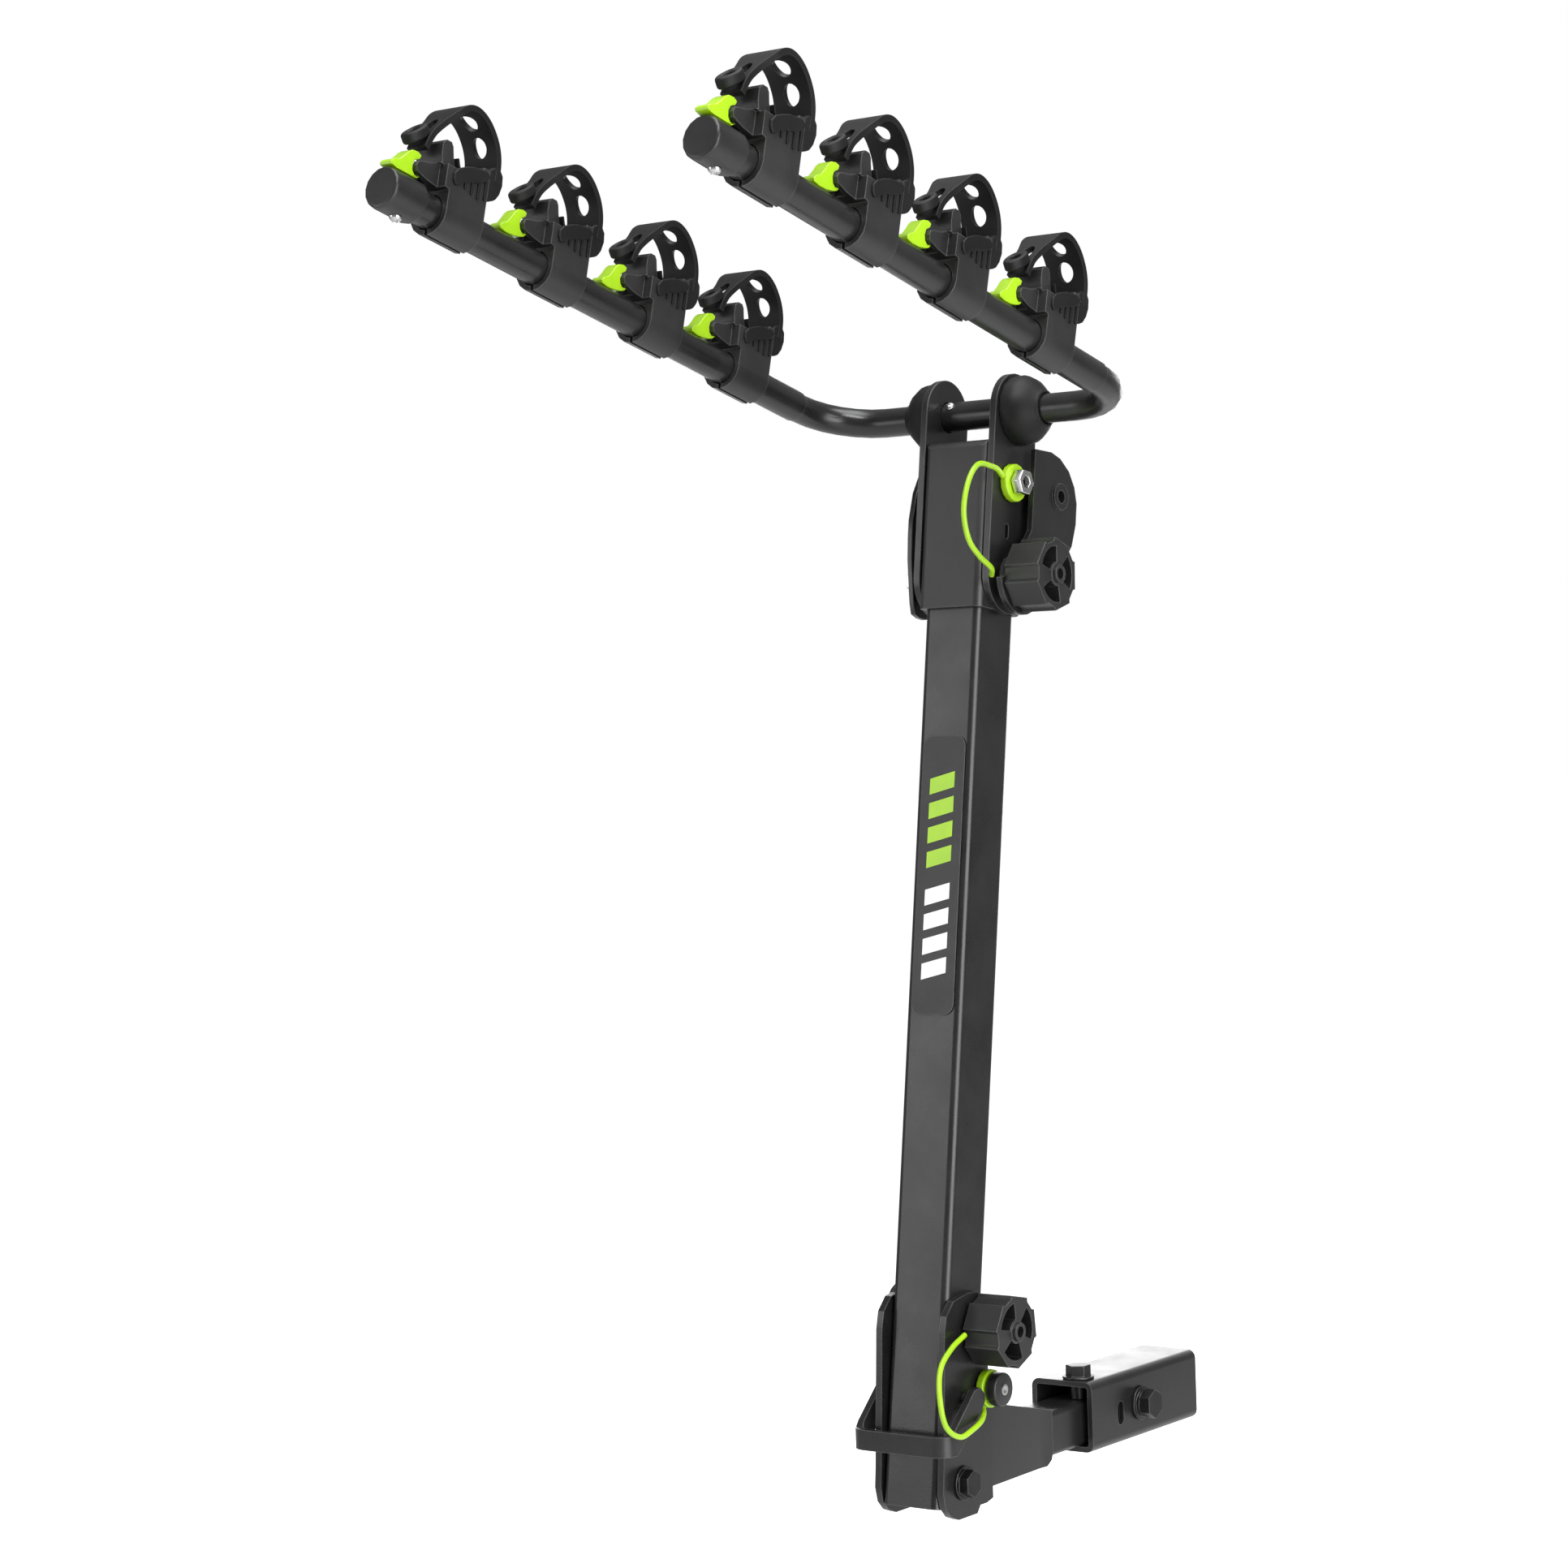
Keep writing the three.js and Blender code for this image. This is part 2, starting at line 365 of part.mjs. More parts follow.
// rubber strap: an arched band over the saddle, rooted in a block behind the rear post, with a pull tab
function strap() {
  const line = [[-25.3, 36], [-25, 46], [-22.5, 54], [-18, 61.5], [-11, 68.7], [-3, 72.8], [5, 72.8], [12, 68],
    [18, 61], [25, 54.3], [30.5, 48], [33.5, 41], [35, 35]];
  const left = [], right = [], half = STRAP_T / 2;
  line.forEach(([a, b], i) => {
    const p = line[Math.max(i - 1, 0)], q = line[Math.min(i + 1, line.length - 1)];
    const d = Math.hypot(q[0] - p[0], q[1] - p[1]), n = [-(q[1] - p[1]) / d, (q[0] - p[0]) / d];
    left.push([a + n[0] * half, b + n[1] * half]);
    right.unshift([a - n[0] * half, b - n[1] * half]);
  });
  const w = STRAP_W / 2, plan = [[w, 40], [w, -14], [10.5, -22], [8, -30], [8, -60]];
  let band = side(drawn([...left, ...right]), -w, w)
    .intersect(upright(polygon([...plan, ...plan.map(([x, y]) => [-x, y]).reverse()]), 0, 90));
  const back = -CRADLE_L / 2 - GAP;
  const root = drawn([[back, 20], [back, 41], [-22, 44], [-28.5, 45], [-32.5, 40], [-32.5, 32], [-29, 24], [-24, 20]]);
  const tab = drawn([[29, 51], [33, 50], [39, 46.5], [45, 41], [46.5, 37.5], [44, 34.6], [40, 36], [33, 42]]);
  band = band.add(side(root, -w + 0.5, w - 0.5)).add(side(tab, -7, 7));
  const hole = (a, b, tilt, r, long) => solid(new THREE.CylinderGeometry(r, r, 16, 8).scale(1, 1, long)
    .rotateX(rad(tilt)).translate(0, -a, b));
  band = band.subtract(hole(-21.2, 56.5, 62, 4.8, 1.4)).subtract(hole(-10, 69, 34, 4.8, 1.4));
  return band.subtract(hole(21.5, 57.6, -45, 3.6, 1.4)).subtract(hole(39, 41, -40, 2.2, 1.2));
}
// hooked lime latch that swings on the cradle's nose pin; a raised one rests on the arm's end cap
function lever(lift) {
  const { t, v } = LEVER;
  const root = [200, 225, 250].map((a) => [t + 4.3 * Math.cos(rad(a)), v + 4.3 * Math.sin(rad(a))]);
  const shape = drawn([...root, [41.5, 12], [54, 11.8], [59.5, 12.3], [61, 14], [57.5, 17.5], [52, 21.5], [46, 28],
    [42, 31.4], [38.4, 31.2], [36.6, 28.8], [35, 24.5]]);
  const body = side(shape, -4, 4).subtract(rod('x', 2.3, -9, 9, -t, v, 8));
  const turn = new THREE.Matrix4().makeRotationX(-rad(lift));
  const turned = place(body, shift(0, -t, v).multiply(turn).multiply(shift(0, t, -v)));
  return lift ? turned.subtract(box(-9, 9, -80, 0, 0, 14.4)) : turned;
}
const [cradleBody, strapBody, flatLever, raisedLever] = [cradle(), strap(), lever(0), lever(9)];
for (const [sideName, s] of [['left', -1], ['right', 1]]) {
  CRADLES[sideName].forEach((t, k) => {
    const at = ARM_FRAME.clone().multiply(shift(s * ARM_X, -t, 0));
    node(`cradle_${sideName}_${k + 1}`, place(cradleBody, at), plastic, carrier);
    node(`strap_${sideName}_${k + 1}`, place(strapBody, at), rubber, carrier);
    node(`buckle_lever_${sideName}_${k + 1}`, place(k ? flatLever : raisedLever, at), lime, carrier);
  });
}

// arm hinge knob, arm lock pin and its tether
node('arm_hinge_knob', place(knob(knobX, 0, HINGE_S), MAST_FRAME), plastic, mast);
const armRingX = EAR_IN + EAR_T + 0.6;
node('arm_lock_pin', place(lockPin(EAR_IN + 0.1, armRingX, -4.5, 686), MAST_FRAME), zinc, carrier);
node('arm_lock_pin_ring', place(tetherRing(armRingX, -4.5, 686), MAST_FRAME), lime, carrier);
node('arm_lock_tether', place(tether([[35, -19.9, 688.4], [38, -30, 690.6], [41, -44, 690.5], [45, -66, 687],
  [48, -81, 672], [49, -86, 651], [49, -79, 634], [47, -62, 625], [43.5, -41, 620], [36.5, -29.6, 617.5]], 24),
MAST_FRAME), lime, carrier);

export default rack;
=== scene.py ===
# %% [markdown]
# # A bike rack for a tow hitch
# The rack hangs bicycles by their top tubes. A square mast stands on a bracket at the hitch, a bent
# tube makes two arms at its head, and four cradles sit on each arm. The metal parts come from the
# CAD frame; this lesson gives them real edges and finishes, and models the moulded parts and cords.

# %% Load the frame
import json
import math

import bmesh
import bpy
from mathutils import Euler, Matrix, Vector


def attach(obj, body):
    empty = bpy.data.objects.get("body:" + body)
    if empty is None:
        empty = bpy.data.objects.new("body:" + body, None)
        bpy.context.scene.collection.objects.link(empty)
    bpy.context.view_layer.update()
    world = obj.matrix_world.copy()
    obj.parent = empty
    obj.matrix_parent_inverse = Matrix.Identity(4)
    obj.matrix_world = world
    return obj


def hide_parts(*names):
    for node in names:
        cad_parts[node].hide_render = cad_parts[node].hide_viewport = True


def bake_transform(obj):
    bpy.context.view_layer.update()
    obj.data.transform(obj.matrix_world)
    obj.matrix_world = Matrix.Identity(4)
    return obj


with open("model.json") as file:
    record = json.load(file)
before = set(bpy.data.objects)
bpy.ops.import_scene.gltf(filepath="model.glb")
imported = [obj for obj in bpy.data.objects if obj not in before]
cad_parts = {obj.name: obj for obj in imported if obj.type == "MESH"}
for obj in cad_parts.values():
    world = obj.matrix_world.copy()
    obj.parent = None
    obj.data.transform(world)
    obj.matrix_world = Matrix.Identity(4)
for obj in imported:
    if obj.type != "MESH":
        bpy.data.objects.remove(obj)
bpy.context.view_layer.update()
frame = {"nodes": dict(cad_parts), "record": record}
MM = 0.001

# %% [markdown]
# A long lens from well back keeps the mast's sides nearly parallel. The camera stands at half the
# mast's height, out in front of the arms' tips and to the right, and it is rolled by about two degrees.

# %% Camera
lens = bpy.data.cameras.new("view")
lens.sensor_width = 36
lens.lens = 81.99
camera = bpy.data.objects.new("view", lens)
camera.location = (1.37744, -2.24685, 0.53295)
camera.rotation_euler = Euler([math.radians(a) for a in (88.97512, 1.93282, 36.46755)])
bpy.context.scene.collection.objects.link(camera)
bpy.context.scene.camera = camera
print("camera at", tuple(round(v, 3) for v in camera.location))

# %% [markdown]
# Four frames carry the shapes, all in millimetres. The hitch frame is the part's own, and another lies
# at the open end of the adapter sleeve. The mast frame leans with the mast from its pivot bolt, and
# the arm frame rises with the arms from the carrier bar. Shapes drawn in such frames keep simple
# numbers, where shapes drawn straight in the part's frame would each carry the lean and the rise.

# %% Frames of the mast and the arms
LEAN, RISE = 8.2, 15
BAR_S, HINGE_S, ARM_X = 738, 621, 124.7
HITCH = Matrix.Identity(4)
SLEEVE_END = Matrix.Translation((0, -74, 25.4))
MAST = Matrix.Translation((0, -246, 12.4)) @ Matrix.Rotation(math.radians(-LEAN), 4, "X")
ARM = Matrix.Translation(MAST @ Vector((0, 1, BAR_S))) @ Matrix.Rotation(math.radians(-RISE), 4, "X")
CRADLES = {"left": (428.5, 324.5, 220, 121), "right": (432, 326.5, 226, 119)}
print("carrier bar at", tuple(round(v, 1) for v in ARM.translation))

# %% [markdown]
# Noise is what keeps a moulded or coated surface from looking like flat paint. One group gives a fine
# grain for the normal and a slow, cloudy mask for gloss. It reads Object coordinates, which stay with
# the piece when a joint moves it.

# %% Shader group: surface grain
def group_with(name, inputs, outputs):
    tree = bpy.data.node_groups.new(name, "ShaderNodeTree")
    for label, value in inputs:
        socket = tree.interface.new_socket(label, in_out="INPUT", socket_type="NodeSocketFloat")
        socket.default_value = value
    for label, kind in outputs:
        tree.interface.new_socket(label, in_out="OUTPUT", socket_type=kind)
    return tree, tree.nodes.new("NodeGroupInput"), tree.nodes.new("NodeGroupOutput")


grain, g_in, g_out = group_with(
    "surface_grain", [("Scale", 900), ("Depth", 0.3), ("Cloud Scale", 20)],
    [("Normal", "NodeSocketVector"), ("Cloud", "NodeSocketFloat")])
place = grain.nodes.new("ShaderNodeTexCoord")
fine = grain.nodes.new("ShaderNodeTexNoise")
fine.inputs["Detail"].default_value = 3
cloud = grain.nodes.new("ShaderNodeTexNoise")
cloud.inputs["Detail"].default_value = 5
cloud.inputs["Roughness"].default_value = 0.62
bump = grain.nodes.new("ShaderNodeBump")
bump.inputs["Distance"].default_value = 0.0003
for noise_node, scale in ((fine, "Scale"), (cloud, "Cloud Scale")):
    grain.links.new(place.outputs["Object"], noise_node.inputs["Vector"])
    grain.links.new(g_in.outputs[scale], noise_node.inputs["Scale"])
grain.links.new(fine.outputs["Fac"], bump.inputs["Height"])
grain.links.new(g_in.outputs["Depth"], bump.inputs["Strength"])
grain.links.new(bump.outputs["Normal"], g_out.inputs["Normal"])
grain.links.new(cloud.outputs["Fac"], g_out.inputs["Cloud"])
print("group", grain.name, "nodes", len(grain.nodes))

# %% [markdown]
# Corners lose their finish first: powder coat thins on a sawn edge and plastic polishes on its ribs.
# The same mask also paints a light edge colour, a painted highlight in place of the bright edges that
# lamps give on black goods. A Bevel node rounds the normal near an edge, so the angle between it and
# the true normal is a mask of the edges. Noise breaks the mask up, or every corner would shine alike.

# %% Shader group: edge wear and painted highlight
# This mask marks edges for a lighter colour: partly wear, partly a painted highlight.
edges, e_in, e_out = group_with(
    "worn_edges", [("Amount", 0.5), ("Break Up", 120)], [("Mask", "NodeSocketFloat")])
rounded = edges.nodes.new("ShaderNodeBevel")
rounded.samples = 4
rounded.inputs["Radius"].default_value = 0.0011
flat = edges.nodes.new("ShaderNodeNewGeometry")
angle = edges.nodes.new("ShaderNodeVectorMath")
angle.operation = "DOT_PRODUCT"
spread = edges.nodes.new("ShaderNodeMapRange")
for label, value in (("From Min", 0.995), ("From Max", 0.9), ("To Min", 0), ("To Max", 1)):
    spread.inputs[label].default_value = value
where = edges.nodes.new("ShaderNodeTexCoord")
broken = edges.nodes.new("ShaderNodeTexNoise")
broken.inputs["Detail"].default_value = 4
times = edges.nodes.new("ShaderNodeMath")
times.operation = "MULTIPLY"
amount = edges.nodes.new("ShaderNodeMath")
amount.operation = "MULTIPLY"
edges.links.new(rounded.outputs["Normal"], angle.inputs[0])
edges.links.new(flat.outputs["Normal"], angle.inputs[1])
edges.links.new(angle.outputs["Value"], spread.inputs["Value"])
edges.links.new(where.outputs["Object"], broken.inputs["Vector"])
edges.links.new(e_in.outputs["Break Up"], broken.inputs["Scale"])
edges.links.new(spread.outputs["Result"], times.inputs[0])
edges.links.new(broken.outputs["Fac"], times.inputs[1])
edges.links.new(times.outputs["Value"], amount.inputs[0])
edges.links.new(e_in.outputs["Amount"], amount.inputs[1])
edges.links.new(amount.outputs["Value"], e_out.inputs["Mask"])
print("group", edges.name, "nodes", len(edges.nodes))

# %% [markdown]
# Every finish is one Principled shader fed by the two groups: the cloud varies colour and gloss, the
# grain turns the normal, and the edge mask mixes in a lighter edge colour, partly a rubbed corner and
# partly a painted highlight.

# %% Finishes
def mixed(tree, first, second):
    mix = tree.nodes.new("ShaderNodeMix")
    mix.data_type = "RGBA"
    mix.inputs["A"].default_value = (*first, 1)
    mix.inputs["B"].default_value = (*second, 1)
    return mix


def finish_of(name, deep, light, worn, gloss, grain_scale, depth, wear_and_highlight, metal=0.0, coat=0.0, shine=0.5):
    """Colours deep to light follow the cloud; gloss is the lowest and highest roughness."""
    material = bpy.data.materials.new(name)
    material.use_nodes = True
    tree = material.node_tree
    shader = tree.nodes["Principled BSDF"]
    shader.inputs["Metallic"].default_value = metal
    shader.inputs["Coat Weight"].default_value = coat
    shader.inputs["Specular IOR Level"].default_value = shine
    shader.inputs["Coat Roughness"].default_value = 0.25
    surface = tree.nodes.new("ShaderNodeGroup")
    surface.node_tree = grain
    surface.inputs["Scale"].default_value = grain_scale
    surface.inputs["Depth"].default_value = depth
    # The edge colour mixed in by the mask is partly wear and partly a painted highlight.
    corner = tree.nodes.new("ShaderNodeGroup")
    corner.node_tree = edges
    corner.inputs["Amount"].default_value = wear_and_highlight
    cloudy = tree.nodes.new("ShaderNodeMapRange")
    cloudy.inputs["From Min"].default_value = 0.3
    cloudy.inputs["From Max"].default_value = 0.7
    body, rubbed_and_lit = mixed(tree, deep, light), mixed(tree, light, worn)
    rough = tree.nodes.new("ShaderNodeMapRange")
    rough.inputs["To Min"].default_value, rough.inputs["To Max"].default_value = gloss
    link = tree.links.new
    link(surface.outputs["Cloud"], cloudy.inputs["Value"])
    link(cloudy.outputs["Result"], body.inputs["Factor"])
    link(cloudy.outputs["Result"], rough.inputs["Value"])
    link(body.outputs["Result"], rubbed_and_lit.inputs["A"])
    link(corner.outputs["Mask"], rubbed_and_lit.inputs["Factor"])
    link(rubbed_and_lit.outputs["Result"], shader.inputs["Base Color"])
    link(rough.outputs["Result"], shader.inputs["Roughness"])
    link(surface.outputs["Normal"], shader.inputs["Normal"])
    return material


def grey(value):
    return (value, value, value)


# The third colour of each finish lights its edges: partly wear, partly a painted highlight.
POWDER = finish_of("satin_black_powder_coat", grey(0.007), grey(0.013), grey(0.2), (0.24, 0.36),
                   700, 0.16, 0.7)
BLACKED = finish_of("black_plated_steel", grey(0.02), grey(0.045), grey(0.3), (0.25, 0.42),
                    1400, 0.06, 0.6, metal=0.85)
ZINC = finish_of("bright_zinc", grey(0.5), grey(0.68), grey(0.85), (0.16, 0.34), 1800, 0.05, 0.6, metal=1.0)
PLASTIC = finish_of("black_moulded_plastic", grey(0.009), grey(0.017), grey(0.16), (0.32, 0.46),
                    1500, 0.3, 0.7)
RUBBER = finish_of("black_rubber", grey(0.003), grey(0.006), grey(0.03), (0.46, 0.62), 1100, 0.22, 0.4,
                   shine=0.24)
LIME = finish_of("lime_plastic", (0.24, 0.46, 0.002), (0.34, 0.58, 0.005), (0.5, 0.75, 0.06), (0.3, 0.42),
                 1500, 0.1, 0.4, coat=0.2)

# %% [markdown]
# Every piece of the rack goes through one door: its mesh is moved from its millimetre frame into the
# part's frame in metres, edges sharper than a set angle are marked, and the object is named, coated
# and given to the body it rides on.

# %% Helper: finish a piece
def make_piece(name, bm, frame_mm, finish, body, replaces=(), sharp=35, weld=True):
    if weld:
        bmesh.ops.remove_doubles(bm, verts=bm.verts, dist=1e-4)
        bmesh.ops.recalc_face_normals(bm, faces=bm.faces)
    bm.transform(Matrix.Scale(MM, 4) @ frame_mm)
    for face in bm.faces:
        face.smooth = True
    for edge in bm.edges:
        edge.smooth = len(edge.link_faces) < 2 or edge.calc_face_angle(0) < math.radians(sharp)
    mesh = bpy.data.meshes.new(name)
    bm.to_mesh(mesh)
    mesh.materials.append(finish)
    piece = bpy.data.objects.new(name, mesh)
    bpy.context.scene.collection.objects.link(piece)
    if body:
        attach(piece, body)
    if replaces:
        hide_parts(*replaces)
    return piece


def bevel_sharp(bm, width, segments, above=30):
    """Rounds every edge whose faces meet at more than the given angle."""
    hard = [e for e in bm.edges if len(e.link_faces) == 2 and e.calc_face_angle(0) > math.radians(above)]
    bmesh.ops.bevel(bm, geom=hard, offset=width, offset_type="OFFSET", affect="EDGES", segments=segments,
                    profile=0.5, material=-1, clamp_overlap=True)


def weigh_normals(piece):
    weigh = piece.modifiers.new("flat faces stay flat", "WEIGHTED_NORMAL")
    weigh.keep_sharp = True
    weigh.weight = 100


print("helpers ready")

# %% [markdown]
# A lock pin that comes loose must not be lost, so each hangs on a plastic tether: a lime cord moulded
# in a loop from the plate to the ring on the pin. Its route is a smooth curve through a few points,
# and the tube is a circle carried along it.

# %% Helper: a smooth route through a few points
FINE_STEPS = 24


def smooth_route(points, count):
    """A centripetal Catmull-Rom curve through the points, at even steps along its length."""
    pts = [Vector(p) for p in points]
    pts = [2 * pts[0] - pts[1], *pts, 2 * pts[-1] - pts[-2]]
    dense = []
    for a, b, c, d in zip(pts, pts[1:], pts[2:], pts[3:]):
        spans = ((a, b), (b, c), (c, d))
        t = [0.0]
        for p, q in spans:
            t.append(t[-1] + math.sqrt((q - p).length))
        for k in range(FINE_STEPS):
            x = t[1] + (t[2] - t[1]) * k / FINE_STEPS
            line = [p.lerp(q, (x - t[i]) / (t[i + 1] - t[i])) for i, (p, q) in enumerate(spans)]
            pair = [line[i].lerp(line[i + 1], (x - t[i]) / (t[i + 2] - t[i])) for i in range(2)]
            dense.append(pair[0].lerp(pair[1], (x - t[1]) / (t[2] - t[1])))
    dense.append(pts[-2].copy())
    run = [0.0]
    for p, q in zip(dense, dense[1:]):
        run.append(run[-1] + (q - p).length)
    route, i = [], 0
    for k in range(count + 1):
        want = run[-1] * k / count
        while i < len(run) - 2 and run[i + 1] < want:
            i += 1
        route.append(dense[i].lerp(dense[i + 1], min(1, (want - run[i]) / (run[i + 1] - run[i]))))
    return route, run[-1]


print("a straight route of 10 mm measures", smooth_route([(0, 0, 0), (5, 0, 0), (10, 0, 0)], 4)[1])

# %% [markdown]
# A curve object with a bevel would give a tube too, but a mesh can be blended between two bodies. So a
# disc is extruded along the route one step at a time, and turned at each step by the smallest
# rotation that follows the route, which keeps the tube from twisting.

# %% Helper: a tube along a route
def cord_mesh(route, radius, sides=14):
    bm = bmesh.new()
    bmesh.ops.create_circle(bm, cap_ends=True, radius=radius, segments=sides)
    start = (route[1] - route[0]).to_track_quat("Z", "Y")
    bm.transform(Matrix.Translation(route[0]) @ start.to_matrix().to_4x4())
    face, way = bm.faces[:], (route[1] - route[0]).normalized()
    for k in range(1, len(route)):
        ahead = route[min(k + 1, len(route) - 1)] - route[k - 1]
        out = bmesh.ops.extrude_face_region(bm, geom=face)["geom"]
        if k > 1:
            bmesh.ops.delete(bm, geom=face, context="FACES_ONLY")
        face = [g for g in out if isinstance(g, bmesh.types.BMFace)]
        verts = [g for g in out if isinstance(g, bmesh.types.BMVert)]
        turn = way.rotation_difference(ahead.normalized()).to_matrix()
        for v in verts:
            v.co = route[k] + turn @ (v.co - route[k - 1])
        way = ahead.normalized()
    return bm


print("helper for cords ready")

# %% [markdown]
# Each tether is made as a cord, and its real length is printed. It goes back into the rack at its far
# end. Riding on one body alone would tear it off the pin when the pin is pulled.

# %% Tethers
TETHER_R = 1.9
TETHER_STEPS = 64


def tether(name, points, frame_mm, node):
    """The loop runs through the given points, set in the given frame."""
    route, length = smooth_route([frame_mm @ Vector(p) for p in points], TETHER_STEPS)
    cord = make_piece(name, cord_mesh(route, TETHER_R), HITCH, LIME, None, (node,), sharp=60)
    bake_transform(cord)
    print(name, "length mm", round(length, 1))


mast_loop = [(33.5, -172.6, 88), (34.5, -190, 82), (37, -208, 71), (45, -221.5, 52), (47.5, -219, 35),
             (47.5, -203, 25.5), (46, -186, 27), (43.8, -171, 30.5), (38.5, -160, 33.5), (34.5, -154.6, 35.2)]
arm_loop = [(36.5, -29.6, 617.5), (43.5, -41, 620), (47, -62, 625), (49, -79, 634), (49, -86, 651),
            (48, -81, 672), (45, -66, 687), (41, -44, 690.5), (38, -30, 690.6), (35, -19.9, 688.4)]
tether("mast_tether", mast_loop, SLEEVE_END, "mast_lock_tether")
tether("arm_tether", arm_loop, MAST, "arm_lock_tether")

# %% [markdown]
# The steel pieces already have their true shape. A sawn or stamped edge is never perfectly sharp,
# though, and a small rounding is what catches the light. Each solid is copied, its triangles are
# merged back into flat faces, and its hard edges are bevelled.

# %% Helper: refine a CAD solid
body_nodes = frame["record"]["behaviour"]["bodies"]


def refined(node, finish, width):
    body = next(b for b, nodes in body_nodes.items() if node in nodes)
    bm = bmesh.new()
    bm.from_mesh(frame["nodes"][node].data)
    bm.transform(Matrix.Scale(1 / MM, 4))
    bmesh.ops.remove_doubles(bm, verts=bm.verts, dist=2e-3)
    bmesh.ops.dissolve_degenerate(bm, dist=1e-3, edges=bm.edges)
    bmesh.ops.dissolve_limit(bm, angle_limit=math.radians(0.8), verts=bm.verts, edges=bm.edges,
                             use_dissolve_boundaries=False)
    bevel_sharp(bm, width, 3)
    piece = make_piece(node + "_made", bm, HITCH, finish, body, (node,), sharp=40, weld=False)
    weigh_normals(piece)
    return piece


print("bodies with CAD pieces", len(body_nodes))

# %% [markdown]
# Bevel widths follow how each piece was made: about a millimetre on stamped plate, less on a drawn tube
# or a bolt, and two or three millimetres on the moulded cover of the mast head.

# %% Steel, bolts and covers
STEEL = {"hitch_adapter": 0.9, "stinger_tube": 0.8, "bracket_plate_right": 0.9, "bracket_plate_left": 0.9,
         "tilt_stop_bar": 0.9, "mast_tube": 0.7, "head_plate_right": 0.9, "head_plate_left": 0.9,
         "head_rear_web": 0.8, "ear_plate_right": 0.9, "ear_plate_left": 0.9, "carrier_bar": 0.6}
for node, width in STEEL.items():
    refined(node, POWDER, width)
for node in ("sleeve_clamp_bolt", "hitch_bolt", "pivot_bolt", "pivot_nut"):
    refined(node, BLACKED, 0.5)
for node in ("hinge_bolt", "mast_clamp_screw", "mast_lock_pin"):
    refined(node, ZINC, 0.4)
refined("hitch_bolt_washers", BLACKED, 0.4)
for node in ("clamp_bolt_retainer", "end_cap_left", "end_cap_right"):
    refined(node, PLASTIC, 0.8)
refined("mast_head_sleeve", PLASTIC, 2.6)
for node in ("bar_bush_left", "bar_bush_right"):
    refined(node, RUBBER, 0.8)
for node in ("mast_lock_pin_ring", "arm_lock_pin_ring"):
    refined(node, LIME, 0.6)
refined("mast_label_plate", PLASTIC, 0.25)

# %% [markdown]
# Each cradle is a moulded saddle on a collar round the arm, with two horns that stop a tube rolling
# off. The saddle's true outline is in the CAD solid. A softer liner lies in its trough: it laps over
# both sides as a rounded lip, with short fingers below that grip the paint of a bicycle.

# %% Helper: a drawn outline pulled sideways
def moved_verts(geom):
    return [g for g in geom if isinstance(g, bmesh.types.BMVert)]


def prism(outline, x0, x1):
    """An outline of (along the arm, height) points, pulled from x0 to x1."""
    bm = bmesh.new()
    rim = [bm.verts.new((x0, -t, h)) for t, h in outline]
    face = bm.faces.new(rim)
    out = bmesh.ops.extrude_face_region(bm, geom=[face])["geom"]
    bmesh.ops.translate(bm, verts=moved_verts(out), vec=(x1 - x0, 0, 0))
    return bm


def joined(*parts):
    """Puts several meshes into the first one."""
    whole = parts[0]
    for part in parts[1:]:
        spare = bpy.data.meshes.new("spare")
        part.to_mesh(spare)
        whole.from_mesh(spare)
        bpy.data.meshes.remove(spare)
        part.free()
    return whole


def rounded_prism(outline, x0, x1, width, segments=3):
    bm = prism(outline, x0, x1)
    bmesh.ops.recalc_face_normals(bm, faces=bm.faces)
    bevel_sharp(bm, width, segments, above=18)
    return bm


print("helpers for outlines ready")

# %% [markdown]
# The liner is a trough, a lip on each side and four fingers below each lip. Sculpting it as one skin
# would be smoother, but separate rounded outlines stay easy to read, and the joints lie in the dark.

# %% Cradle liner
LIP = [(16.4, 24.8), (13, 29), (6, 32.6), (-0.6, 35), (-12.4, 36.6), (-17.3, 34.6), (-14.5, 30), (-8, 26.6),
       (0, 24.3), (5, 22.6), (9, 19.2), (13.4, 17.4), (16, 20)]
TROUGH = [(-9.4, 35.5), (-8.3, 30.3), (-5.3, 26.8), (-1, 24.8), (4, 24.8), (8.3, 26.8), (11.2, 31.2),
          (12.8, 36), (11.4, 36.2), (9.7, 32), (7.3, 28.5), (3.8, 26.8), (-0.8, 26.8), (-4.1, 28.4),
          (-6.9, 31.3), (-8, 35.8)]
FINGER_TIPS = (17, 15.5, 16.5, 18)


def liner():
    parts = [rounded_prism(TROUGH, -14.2, 14.2, 0.5, 2)]
    for way in (-1, 1):
        parts.append(rounded_prism(LIP, way * 14, way * 16.8, 1.1))
        for k, drop in enumerate(FINGER_TIPS):
            t = -14.5 + 6.2 * k
            finger = [(t - 1.3, 31), (t + 1.3, 31), (t + 1.1, drop + 1), (t, drop), (t - 1.1, drop + 1)]
            parts.append(rounded_prism(finger, way * 14.2, way * 16.2, 0.6, 2))
    return joined(*parts)


print("fingers on a liner", 2 * len(FINGER_TIPS))

# %% [markdown]
# Each cradle has its own frame on the arm, so one liner is made eight times, once for each place. The
# saddle itself is the refined CAD solid.

# %% Cradles and liners
def cradle_frame(side, k):
    return ARM @ Matrix.Translation((ARM_X if side == "right" else -ARM_X, -CRADLES[side][k - 1], 0))


for side in CRADLES:
    for k in range(1, 5):
        refined(f"cradle_{side}_{k}", PLASTIC, 1.0)
        weigh_normals(make_piece(f"liner_{side}_{k}", liner(), cradle_frame(side, k), RUBBER, "carrier",
                                 weld=False))
print("cradles and liners made")

# %% [markdown]
# The strap is one moulding of soft rubber. A flat grid is cut with its oval adjusting holes, given
# thickness, and bent along the strap's centre line, which keeps the holes true ovals in the bent band.
# It widens to its root behind the saddle and narrows to a thick pull tab with an eye at the front.

